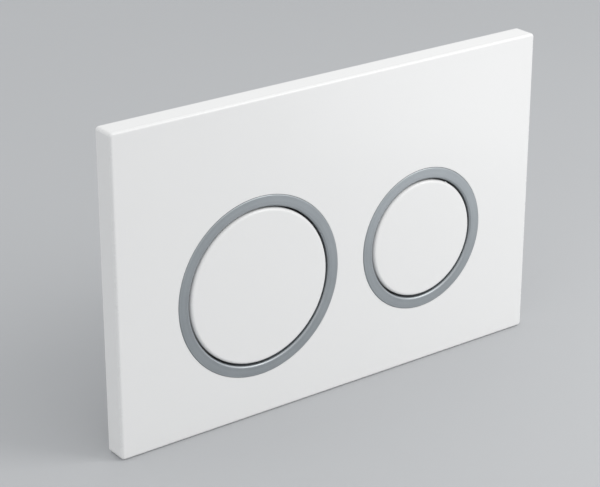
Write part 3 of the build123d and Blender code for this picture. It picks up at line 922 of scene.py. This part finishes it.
def mark_edges(mesh):
    """Marks the points on outward edges, away from wide or flat faces, for the finishes' rubbed edges."""
    bm = bmesh.new()
    bm.from_mesh(mesh)
    wide = {
        face for face in bm.faces
        if face.calc_area() > FINE_WIDTH * max(edge.calc_length() for edge in face.edges)
        or min(edge.calc_face_angle(math.pi) for edge in face.edges) < FLAT_ANGLE
    }
    marks = []
    for point in bm.verts:
        bend = max((edge.calc_face_angle_signed(0.0) for edge in point.link_edges), default=0.0)
        marks.append(0.0 if bend < WORN_ANGLE or wide.intersection(point.link_faces) else 1.0)
    bm.free()
    mesh.attributes.new(EDGE_MARK, "FLOAT", "POINT").data.foreach_set("value", marks)


def smoothed(mesh, material, edge=0.0):
    """A mesh with rounded sharp edges, if an edge round is given, and clean normals and one material."""
    thing = shown("smoothed", mesh)
    if edge:
        bevel = thing.modifiers.new("edge", "BEVEL")
        bevel.width = edge
        bevel.segments = 2
        bevel.limit_method = "ANGLE"
        bevel.angle_limit = SMOOTH_ANGLE
        bevel.miter_outer = "MITER_ARC"
    mesh = evaluated(thing)
    mesh.materials.clear()
    mesh.materials.append(material)
    mesh.polygons.foreach_set("material_index", [0] * len(mesh.polygons))
    mesh.shade_smooth()
    mesh.set_sharp_from_angle(angle=SMOOTH_ANGLE)
    mark_edges(mesh)
    thing = shown("smoothed", mesh)
    normals = thing.modifiers.new("normals", "WEIGHTED_NORMAL")
    normals.keep_sharp = True
    normals.weight = 80
    return evaluated(thing)


def piece(name, mesh, slot, body, *nodes, material=None, edge=0.0):
    """A finished piece that rides on a body in place of its nodes."""
    mesh = smoothed(mesh, material or finish_of(slot), edge)
    mesh.name = name
    made = shown(name, mesh)
    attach(made, body)
    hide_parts(*nodes)
    return made


# Pieces


class CoverOperator(bpy.types.Operator):
    """Build the white cover with its ring seats, skirt and screw bosses"""

    bl_idname = "flush_plate.cover"
    bl_label = "Cover"

    def execute(self, context):
        sizes = context.scene.flush_plate.cover
        low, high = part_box("cover_plate")
        skin_back = low.y + sizes.skin
        sunk = skin_back - sizes.skin / 2
        pilot_front = skin_back + sizes.pilot_floor
        bosses = boss_places()
        pins = [(high.x * share, z) for share in PIN_COLUMNS for z in (high.z * PIN_ROW, -high.z * PIN_ROW)]
        pin_ends = (skin_back - sizes.pin_mark_depth, skin_back + sizes.pin_mark_depth)
        cover = combined(
            self.make_shell(sizes, context.scene.flush_plate.trim),
            ("UNION", bar("bosses", sizes.boss_radius, sunk, high.y, bosses)),
            ("UNION", self.make_ribs(sizes, bosses, sunk, skin_back + sizes.boss_rib_height)),
            ("DIFFERENCE", bar("pilots", sizes.pilot_radius, pilot_front, 2 * high.y, bosses, HOLE_STEPS)),
            ("DIFFERENCE", bar("pin_marks", sizes.pin_mark_radius, *pin_ends, pins)),
        )
        piece("cover_shell", cover, "white_plastic", PLATE_BODY, "cover_plate")
        return {"FINISHED"}

    def make_shell(self, sizes, trim):
        """The hollow cover with a stepped seat and a rib behind for each ring."""
        low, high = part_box("cover_plate")
        front, rim = low.y, 0.0
        skin_back = front + sizes.skin
        rib_back = skin_back + sizes.seat_rib_depth

        def outline(inset, y):
            radius = max(sizes.corner_radius - inset, sizes.back_round)
            return rectangle(high.x - inset, high.z - inset, radius, y)

        def hollow(inset, y):
            reach = sizes.skirt + inset
            return rectangle(high.x - reach, high.z - reach, sizes.hollow_corner, y)

        quarter = [math.pi / 2 * step / CORNER_STEPS for step in range(CORNER_STEPS + 1)]
        first, last, root = sizes.front_round, sizes.back_round, sizes.root_round
        lines = [outline(first * (1 - math.sin(a)), front + first * (1 - math.cos(a))) for a in quarter]
        lines += [outline(last * (1 - math.cos(a)), rim - last * (1 - math.sin(a))) for a in quarter]
        lines += [hollow(0.0, rim)]
        lines += [hollow(root * (1 - math.cos(a)), skin_back + root * (1 - math.sin(a))) for a in quarter]
        bm = bmesh.new()
        shell = [add_loop(bm, points) for points in lines]
        loft(bm, shell)
        seats = []
        for name in BUTTONS:
            ring = name + "_ring"
            seat = half_width(ring) + sizes.seat_clearance
            seat_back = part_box(ring)[0].y + trim.flange
            collar = ring_bore(name, trim) + trim.collar_wall + sizes.seat_clearance
            rib = half_width(ring) + sizes.seat_rib_width
            edge, bulge = sizes.seat_edge, sizes.seat_edge * EDGE_BULGE
            steps = [
                (seat + edge, front), (seat + bulge, front + bulge), (seat, front + edge), (seat, seat_back),
                (collar, seat_back), (collar, rib_back), (rib, rib_back), (rib, skin_back),
            ]
            seats.append([add_loop(bm, circle(axis(ring), radius, y, trim.steps)) for radius, y in steps])
            loft(bm, seats[-1])
        fill(bm, shell[0], *[loops[0] for loops in seats])
        fill(bm, shell[-1], *[loops[-1] for loops in seats])
        return end_mesh(bm, "cover_shell")

    def make_ribs(self, sizes, bosses, front, back):
        """Ribs that tie the bosses to the skirt."""
        half = sizes.boss_rib / 2
        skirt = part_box("cover_plate")[1].z - sizes.skirt / 2
        ribs = []
        for x, z in bosses:
            ends = sorted((z, math.copysign(skirt, z)))
            ribs.append(((x - half, front, ends[0]), (x + half, back, ends[1])))
        return blocks("boss_ribs", ribs)


class TrimRingOperator(bpy.types.Operator):
    """Build the two matt chrome trim rings with their snap lugs"""

    bl_idname = "flush_plate.trim_rings"
    bl_label = "Trim rings"

    def execute(self, context):
        trim = context.scene.flush_plate.trim
        cover = context.scene.flush_plate.cover
        lug_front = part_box("cover_plate")[0].y + cover.skin + cover.seat_rib_depth + trim.lug_gap
        for name in BUTTONS:
            node = name + "_ring"
            low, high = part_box(node)
            centre = middle(node)
            place = (centre.x, 0, centre.z)
            rim = half_width(node)
            bore = ring_bore(name, trim)
            collar = bore + trim.collar_wall
            seat = low.y + trim.flange
            section = rounded([
                (bore - rim, low.y, trim.inner_round),
                (0.0, low.y, trim.outer_round),
                (0.0, seat),
                (collar - rim, seat),
                (collar - rim, high.y),
                (bore - rim, high.y),
            ], CORNER_STEPS)
            finish = make_finish("matt_chrome", node + "_chrome", centre=centre)
            profile = points_mesh("section", [point.to_3d() for point in section], closed=True)
            ring = grown("Swept Ring", finish, profile, path_radius=rim, steps=trim.steps, place=place)
            lug = self.make_lug(trim, bore, collar, lug_front)
            lugs = grown("Copies Around", finish, lug, count=trim.lug_count, place=place)
            body = combined(ring, ("UNION", lugs))
            piece(name + "_trim_ring", body, "matt_chrome", PLATE_BODY, node, material=finish)
        return {"FINISHED"}

    def make_lug(self, trim, bore, collar, front):
        """A wedge on the collar that snaps behind the cover's seat."""
        bm = bmesh.new()
        root = (bore + trim.collar_wall / 2) * LUG_SINK
        back = front + trim.lug_depth
        ends = []
        for x in (-trim.lug_width / 2, trim.lug_width / 2):
            reach = math.sqrt(collar ** 2 - x ** 2)
            crest = math.sqrt((collar + trim.lug_height) ** 2 - x ** 2)
            points = [(root, front), (crest, front), (reach, back), (root, back)]
            ends.append(add_loop(bm, [Vector((x, y, z)) for z, y in points]))
        loft(bm, ends)
        for loop in ends:
            bm.faces.new(loop)
        return end_mesh(bm, "lug")


class CapOperator(bpy.types.Operator):
    """Build the two white button caps"""

    bl_idname = "flush_plate.button_caps"
    bl_label = "Button caps"

    def execute(self, context):
        sizes = context.scene.flush_plate.button
        steps = context.scene.flush_plate.trim.steps
        for name in BUTTONS:
            node = name + "_cap"
            low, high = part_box(node)
            radius = half_width(node)
            inner = radius - sizes.wall
            bead = inner - sizes.bead_height
            back = low.y + sizes.skin
            bead_front = back + sizes.plunger
            bead_back = bead_front + sizes.bead_depth
            profile = rounded([
                (0.0, low.y),
                (radius, low.y, sizes.edge_round),
                (radius, high.y),
                (inner, high.y),
                (inner, bead_back),
                (bead, bead_back),
                (bead, bead_front),
                (inner, bead_front),
                (inner, back),
                (0.0, back),
            ], CAP_ARC_STEPS)
            mesh = turned(node, profile, axis(node), steps)
            piece(name + "_button_cap", mesh, "white_plastic", name + "_button", node)
        return {"FINISHED"}


class PlungerOperator(bpy.types.Operator):
    """Build the plungers in the caps, with the clips on their stems"""

    bl_idname = "flush_plate.plungers"
    bl_label = "Plungers"

    def execute(self, context):
        sizes = context.scene.flush_plate.fitting
        kinds = (("plunger", "pale_plastic", sizes.moulded_edge), ("clips", "steel", sizes.pressed_edge))
        for name in BUTTONS:
            body = name + "_button"
            for word, slot, edge in kinds:
                node = name + "_" + word
                piece(name + "_guide_" + word, cad_copy(node), slot, body, node, edge=edge)
        return {"FINISHED"}


class SpringOperator(bpy.types.Operator):
    """Build the return springs around the plungers' stems"""

    bl_idname = "flush_plate.return_springs"
    bl_label = "Return springs"

    def execute(self, context):
        sizes = context.scene.flush_plate.fitting
        wire = sizes.wire_radius
        for name in BUTTONS:
            for side in SIDES:
                node = name + "_spring_" + side
                low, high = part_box(node)
                centre = middle(node)
                mesh = grown(
                    "Return Spring", finish_of("steel"), radius=half_width(node) - wire, wire_radius=wire,
                    turns=float(sizes.spring_turns), length=high.y - low.y - 2 * wire,
                    end_pitch=sizes.end_pitch, place=(centre.x, low.y + wire, centre.z),
                )
                spring = piece(name + "_return_spring_" + side, mesh, "steel", PLATE_BODY, node)
                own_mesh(spring)
        return {"FINISHED"}


class PushRodOperator(bpy.types.Operator):
    """Build the threaded push rods, their lock nuts and soft pads"""

    bl_idname = "flush_plate.push_rods"
    bl_label = "Push rods"

    def execute(self, context):
        sizes = context.scene.flush_plate.fitting
        for name in BUTTONS:
            self.make_rod(sizes, name)
            self.make_lock_nut(sizes, name)
            self.make_pad(sizes, name)
        return {"FINISHED"}

    def make_rod(self, sizes, name):
        """A rod that is threaded from end to end."""
        node = name + "_push_rod"
        low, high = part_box(node)
        rod = threaded(
            "pale_plastic", half_width(node), low.y, high.y, axis(node),
            depth=sizes.rod_thread, pitch=sizes.rod_pitch, chamfer=sizes.rod_thread,
        )
        piece(name + "_threaded_rod", rod, "pale_plastic", name + "_button", node)

    def make_lock_nut(self, sizes, name):
        """A hexagon nut that locks the rod in the plunger."""
        node = name + "_rod_nut"
        low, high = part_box(node)
        blank = hexagon("nut", half_width(node), low.y, high.y, axis(node), sizes.hex_chamfer)
        bore = bar("bore", sizes.nut_thread_radius, 2 * low.y, 2 * high.y, [axis(node)], BORE_STEPS)
        nut = combined(blank, ("DIFFERENCE", bore))
        piece(name + "_lock_nut", nut, "pale_plastic", name + "_button", node, edge=sizes.pressed_edge)

    def make_pad(self, sizes, name):
        """A soft cup over the rod's end, with two grip grooves."""
        node = name + "_rod_pad"
        low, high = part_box(node)
        rim, bore = half_width(node), sizes.pad_bore_radius
        groove, soft = sizes.pad_groove, sizes.pad_groove / 2
        floor = high.y - sizes.pad_end
        line = [(0.0, floor), (bore, floor), (bore, low.y, soft), (rim, low.y, groove)]
        for share in PAD_GROOVES:
            start = low.y + (high.y - low.y) * share
            line += [
                (rim, start, soft), (rim - groove, start + groove, soft),
                (rim - groove, start + 3 * groove, soft), (rim, start + 4 * groove, soft),
            ]
        line += [(rim, high.y, sizes.pad_round), (0.0, high.y)]
        pad = turned(node, rounded(line), axis(node), PAD_STEPS)
        piece(name + "_soft_pad", pad, "rubber", name + "_button", node)


class CarrierOperator(bpy.types.Operator):
    """Build the carrier with its screws, stops, latches and rivets"""

    bl_idname = "flush_plate.carrier"
    bl_label = "Carrier"

    def execute(self, context):
        sizes = context.scene.flush_plate.fitting
        self.make_carrier(sizes, context.scene.flush_plate.cover)
        self.make_screws(sizes)
        self.make_stops(sizes)
        self.make_rivets(sizes)
        for side in SIDES:
            node = "latch_spring_" + side
            piece("spring_latch_" + side, cad_copy(node), "steel", PLATE_BODY, node, edge=sizes.pressed_edge)
        return {"FINISHED"}

    def make_carrier(self, sizes, cover):
        """The moulded carrier, with the mould's pin marks on its back."""
        width, _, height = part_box("carrier_frame")[0]
        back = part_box("carrier_screws")[1].y - sizes.screw_head_height
        marks = [(side * width * across, height * up) for across, up in CARRIER_PINS for side in (1, -1)]
        pins = bar("pins", cover.pin_mark_radius, back - cover.pin_mark_depth, 2 * back, marks)
        carrier = combined(cad_copy("carrier_frame"), ("DIFFERENCE", pins))
        piece("carrier", carrier, "grey_plastic", PLATE_BODY, "carrier_frame", edge=sizes.moulded_edge)

    def make_screws(self, sizes):
        """Screws with a domed head and a cross slot, each turned its own way."""
        low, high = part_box("carrier_screws")
        head = sizes.screw_head_radius
        seat = high.y - sizes.screw_head_height
        blank = turned("screw", rounded([
            (0.0, low.y),
            (sizes.screw_radius, low.y, sizes.pressed_edge * 4),
            (sizes.screw_radius, seat),
            (head, seat, sizes.pressed_edge),
            (head, high.y, sizes.screw_head_round),
            (0.0, high.y),
        ]), (0.0, 0.0), SCREW_STEPS)
        slot_floor = high.y - sizes.screw_slot_depth
        reach, narrow = sizes.screw_slot_length / 2, sizes.screw_slot_width / 2
        screw = combined(blank, *[
            ("DIFFERENCE", blocks("slot", [((-x, slot_floor, -z), (x, 2 * high.y, z))]))
            for x, z in ((reach, narrow), (narrow, reach))
        ])
        points = [(x, 0.0, z) for x, z in boss_places()]
        mesh = placed(screw, finish_of("steel"), points, most_turn=math.pi / 2)
        piece("screws", mesh, "steel", PLATE_BODY, "carrier_screws", edge=sizes.pressed_edge / 2)

    def make_stops(self, sizes):
        """Rubber stops pushed through the carrier, around each button."""
        low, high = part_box("stop_buffers")
        seat = low.y + sizes.stop_head
        back = high.y - sizes.stop_barb
        stop = turned("stop", rounded([
            (0.0, low.y),
            (sizes.stop_radius, low.y, sizes.moulded_edge * 2),
            (sizes.stop_radius, seat, sizes.moulded_edge / 2),
            (sizes.stop_neck_radius, seat),
            (sizes.stop_neck_radius, back),
            (sizes.stop_barb_radius, back, sizes.moulded_edge / 2),
            (sizes.stop_neck_radius, high.y, sizes.moulded_edge),
            (0.0, high.y),
        ]), (0.0, 0.0), HEAD_STEPS)
        points = []
        for name in BUTTONS:
            x, z = axis(name + "_cap")
            reach = half_width(name + "_cap") - sizes.stop_inset
            for index in range(sizes.stop_count):
                angle = math.pi / 2 + index * 2 * math.pi / sizes.stop_count
                points.append((x + reach * math.cos(angle), 0.0, z + reach * math.sin(angle)))
        piece("cap_stops", placed(stop, finish_of("rubber"), points), "rubber", PLATE_BODY, "stop_buffers")

    def make_rivets(self, sizes):
        """Rivets with a domed head at both ends."""
        low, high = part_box("latch_rivets")
        head = (high.z - low.z) / 2
        front_seat = low.y + sizes.rivet_head_height
        back_seat = high.y - sizes.rivet_head_height
        rivet = turned("rivet", rounded([
            (0.0, low.y),
            (head, low.y, sizes.rivet_head_round),
            (head, front_seat),
            (sizes.rivet_radius, front_seat),
            (sizes.rivet_radius, back_seat),
            (head, back_seat),
            (head, high.y, sizes.rivet_head_round),
            (0.0, high.y),
        ]), (0.0, 0.0), HEAD_STEPS)
        z = (low.z + high.z) / 2
        points = [(low.x + head, 0.0, z), (high.x - head, 0.0, z)]
        piece("rivets", placed(rivet, finish_of("steel"), points), "steel", PLATE_BODY, "latch_rivets")


class MountingOperator(bpy.types.Operator):
    """Build the mounting frame with its distance bolts and clamp nuts"""

    bl_idname = "flush_plate.mounting"
    bl_label = "Mounting frame"

    def execute(self, context):
        sizes = context.scene.flush_plate.fitting
        piece(
            "wall_frame", cad_copy("mounting_frame"), "grey_plastic", PLATE_BODY, "mounting_frame",
            material=make_finish("grey_plastic", "frame_grey", "frame_grey"), edge=sizes.moulded_edge,
        )
        for side in SIDES:
            self.make_bolt(sizes, side)
            self.make_clamp_nut(sizes, side)
        return {"FINISHED"}

    def make_bolt(self, sizes, side):
        """A bolt with a hexagon collar, threaded on both sides of it."""
        node = "distance_bolt_" + side
        low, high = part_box(node)
        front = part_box("mounting_frame")[1].y
        back = front + sizes.bolt_collar
        lap = sizes.bolt_collar / 4
        collar = hexagon(node, half_width(node), front, back, axis(node), sizes.hex_chamfer)
        ends = ((sizes.bolt_neck_radius, low.y, back - lap), (sizes.bolt_radius, front + lap, high.y))
        bolt = combined(collar, *[
            ("UNION", threaded(
                "dark_plastic", *end, axis(node),
                depth=sizes.bolt_thread, pitch=sizes.bolt_pitch, chamfer=sizes.bolt_chamfer,
            ))
            for end in ends
        ])
        piece("wall_bolt_" + side, bolt, "dark_plastic", PLATE_BODY, node)

    def make_clamp_nut(self, sizes, side):
        """A round nut with finger flutes."""
        node = "clamp_nut_" + side
        low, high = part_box(node)
        x, z = axis(node)
        radius, edge = (high.z - low.z) / 2, sizes.clamp_edge
        profile = rounded([(0.0, low.y), (radius, low.y, edge), (radius, high.y, edge), (0.0, high.y)])
        blank = turned("nut", profile, (x, z), NUT_STEPS)
        ends = (-high.y, 2 * high.y)
        flute = bar("flute", sizes.grip_radius, *ends, [(radius, 0.0)], HOLE_STEPS)
        flutes = grown(
            "Copies Around", finish_of("dark_plastic"), flute, count=sizes.grip_count, place=(x, 0, z),
        )
        bore = bar("bore", sizes.clamp_bore_radius, *ends, [(x, z)], BORE_STEPS)
        nut = combined(blank, ("DIFFERENCE", flutes), ("DIFFERENCE", bore))
        piece("grip_nut_" + side, nut, "dark_plastic", PLATE_BODY, node, edge=sizes.pressed_edge)


class StageOperator(bpy.types.Operator):
    """Set up the floor, the light and the camera"""

    bl_idname = "flush_plate.stage"
    bl_label = "Stage"

    def execute(self, context):
        stage = context.scene.flush_plate.stage
        self.make_floor(stage)
        self.make_light(stage)
        self.make_camera(stage)
        context.scene.view_settings.view_transform = "Standard"
        return {"FINISHED"}

    def make_floor(self, stage):
        """A wide plain floor just under the cover."""
        half = stage.floor_size / 2
        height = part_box("cover_plate")[0].z - stage.floor_gap
        corners = [(half * x, half * y, height) for x, y in ((-1, -1), (1, -1), (1, 1), (-1, 1))]
        mesh = bpy.data.meshes.new("floor")
        mesh.from_pydata(corners, [], [(0, 1, 2, 3)])
        finish, tree, shader = start_finish("floor")
        cloud = effect(tree, "Moulded Grain", grain_size=0.002, cloud_size=0.4)["Cloud"]
        tree.links.new(tinted(tree, cloud, stage.floor, FLOOR_SPREAD), shader.inputs["Base Color"])
        shader.inputs["Roughness"].default_value = FLOOR_ROUGHNESS
        mesh.materials.append(finish)
        shown("floor", mesh)

    def make_light(self, stage):
        """Light from all around, a main lamp and a low one."""
        world = bpy.data.worlds.new("soft_light")
        world.use_nodes = True
        world.node_tree.nodes["Background"].inputs["Color"].default_value = (*stage.sky, 1.0)
        bpy.context.scene.world = world
        key = self.make_lamp("key_lamp", stage.key_place, stage.key_size, stage.key_power)
        key.data.color = stage.key_tint
        self.make_lamp("fill_lamp", stage.fill_place, stage.fill_size, stage.fill_power)

    def make_lamp(self, name, place, size, power):
        """A square lamp that faces the plate and that the camera doesn't see."""
        lamp = bpy.data.lights.new(name, "AREA")
        lamp.size = size
        lamp.energy = power
        made = shown(name, lamp)
        made.visible_camera = False
        self.aim(made, place, (0.0, 0.0, 0.0))
        return made

    def make_camera(self, stage):
        """A camera that sees the plate as the photo does."""
        data = bpy.data.cameras.new("photo_camera")
        data.lens = stage.camera_lens
        camera = shown("photo_camera", data)
        self.aim(camera, stage.camera_place, stage.camera_aim)
        bpy.context.scene.camera = camera

    def aim(self, thing, place, target):
        """Puts a lamp or camera at a place, looking at another."""
        thing.location = place
        thing.rotation_euler = (Vector(target) - Vector(place)).to_track_quat("-Z", "Y").to_euler()


class FlushPlatePanel(bpy.types.Panel):
    """The plate's operators and settings"""

    bl_idname = "VIEW3D_PT_flush_plate"
    bl_label = "Flush Plate"
    bl_space_type = "VIEW_3D"
    bl_region_type = "UI"
    bl_category = "Flush Plate"

    def draw(self, context):
        for operator in OPERATORS:
            self.layout.operator(operator.bl_idname)
        settings = context.scene.flush_plate
        for group in settings.__annotations__:
            box = self.layout.box()
            box.label(text=group.title())
            for name in getattr(settings, group).__annotations__:
                box.prop(getattr(settings, group), name)


SETTINGS = (
    CoverSizes, TrimSizes, ButtonSizes, FittingSizes, FinishColours, StageSettings, FlushPlateSettings,
)
OPERATORS = (
    CoverOperator, TrimRingOperator, CapOperator, PlungerOperator, SpringOperator, PushRodOperator,
    CarrierOperator, MountingOperator, StageOperator,
)
CLASSES = SETTINGS + OPERATORS + (FlushPlatePanel,)


def register():
    for item in CLASSES:
        bpy.utils.register_class(item)
    bpy.types.Scene.flush_plate = PointerProperty(type=FlushPlateSettings)


def unregister():
    del bpy.types.Scene.flush_plate
    for item in reversed(CLASSES):
        bpy.utils.unregister_class(item)


def main():
    """Builds every piece and the stage."""
    register()
    for operator in OPERATORS:
        group, name = operator.bl_idname.split(".")
        getattr(getattr(bpy.ops, group), name)()


if __name__ == "__main__":
    main()
